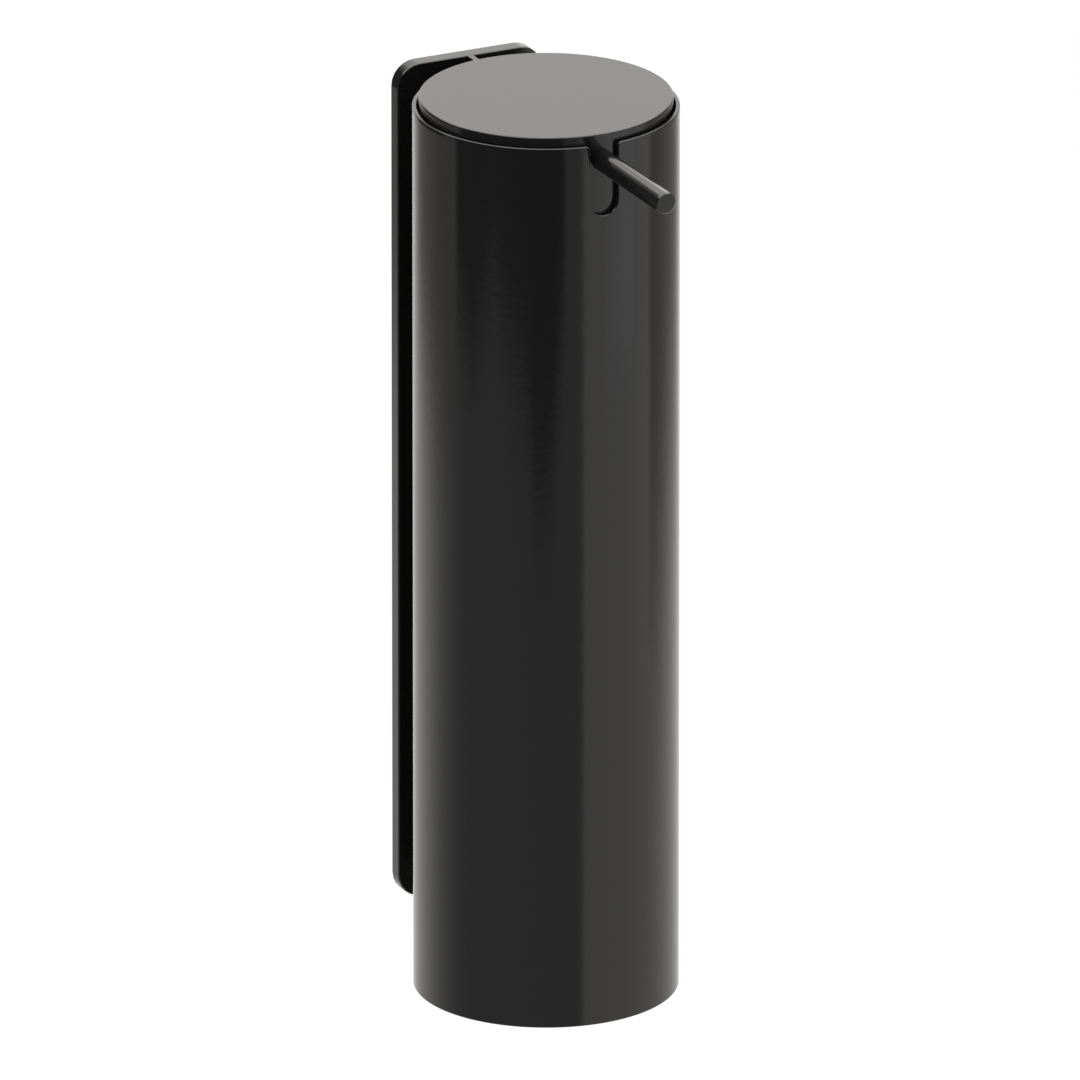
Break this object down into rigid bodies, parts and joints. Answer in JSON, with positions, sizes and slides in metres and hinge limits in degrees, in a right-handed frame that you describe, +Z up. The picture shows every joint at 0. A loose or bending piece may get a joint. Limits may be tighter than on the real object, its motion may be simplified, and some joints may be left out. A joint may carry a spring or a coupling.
{
  "type": "wall soap dispenser",
  "caption": "Wall-hung soap dispenser: a slotted round tube on a narrow back plate, with a push-down cap, a straight rod spout and a lift-out bottle with a spring pump.",
  "frame": {"origin": "centre of the wall bracket's back face, on the wall", "axes": "+Y into the wall, -Y the way the spout points, +Z up along the tube, +X to the right seen from the front"},
  "size_m": [0.06, 0.1037, 0.2122],
  "materials": {
    "black_lacquer": "glossy black lacquer on steel",
    "zinc_steel": "zinc plated",
    "spring_steel": "bright stainless",
    "black_plastic": "moulded polypropylene",
    "milky_plastic": "natural polyethylene",
    "seal_rubber": "matte"
  },
  "bodies": {
    "housing": {"wall_bracket": "zinc_steel", "back_plate": "black_lacquer", "spacer_web": "black_lacquer", "locking_screw": "zinc_steel", "housing_tube": "black_lacquer", "base_dish": "black_lacquer"},
    "cartridge": {"soap_bottle": "milky_plastic"},
    "pump": {"pump_barrel": "milky_plastic", "stem_guide": "milky_plastic", "neck_gasket": "seal_rubber", "dip_tube": "milky_plastic", "return_spring": "spring_steel"},
    "collar": {"screw_collar": "black_plastic"},
    "inlet_valve": {"inlet_ball": "spring_steel"},
    "head": {"push_cap": "black_lacquer", "actuator_hub": "black_plastic", "spout_rod": "black_lacquer", "spout_seal": "seal_rubber", "pump_stem": "milky_plastic", "piston": "milky_plastic"},
    "outlet_valve": {"outlet_ball": "spring_steel"}
  },
  "joints": [
    {"name": "cartridge_lift", "type": "slide", "parent": "housing", "child": "cartridge", "axis": [0, 0, 1], "range_m": [0, 0.21]},
    {"name": "pump_rise", "type": "slide", "parent": "cartridge", "child": "pump", "axis": [0, 0, 1], "range_m": [0, 0.00634]},
    {"name": "collar_turn", "type": "hinge", "parent": "pump", "child": "collar", "pos_m": [0, -0.0427, 0.0676], "axis": [0, 0, 1], "range_deg": [0, 540]},
    {"name": "head_press", "type": "slide", "parent": "pump", "child": "head", "axis": [0, 0, -1], "range_m": [0, 0.0093], "stiffness_N_per_m": 900, "springref_m": -0.009, "deforming": ["return_spring"]},
    {"name": "inlet_ball_lift", "type": "slide", "parent": "pump", "child": "inlet_valve", "axis": [0, 0, 1], "range_m": [0, 0.0007]},
    {"name": "outlet_ball_lift", "type": "slide", "parent": "head", "child": "outlet_valve", "axis": [0, 0, 1], "range_m": [0, 0.0007]}
  ],
  "couplings": [
    {"joint": "collar_turn", "follows": "pump_rise", "rad_per_m": 1485.3}
  ]
}
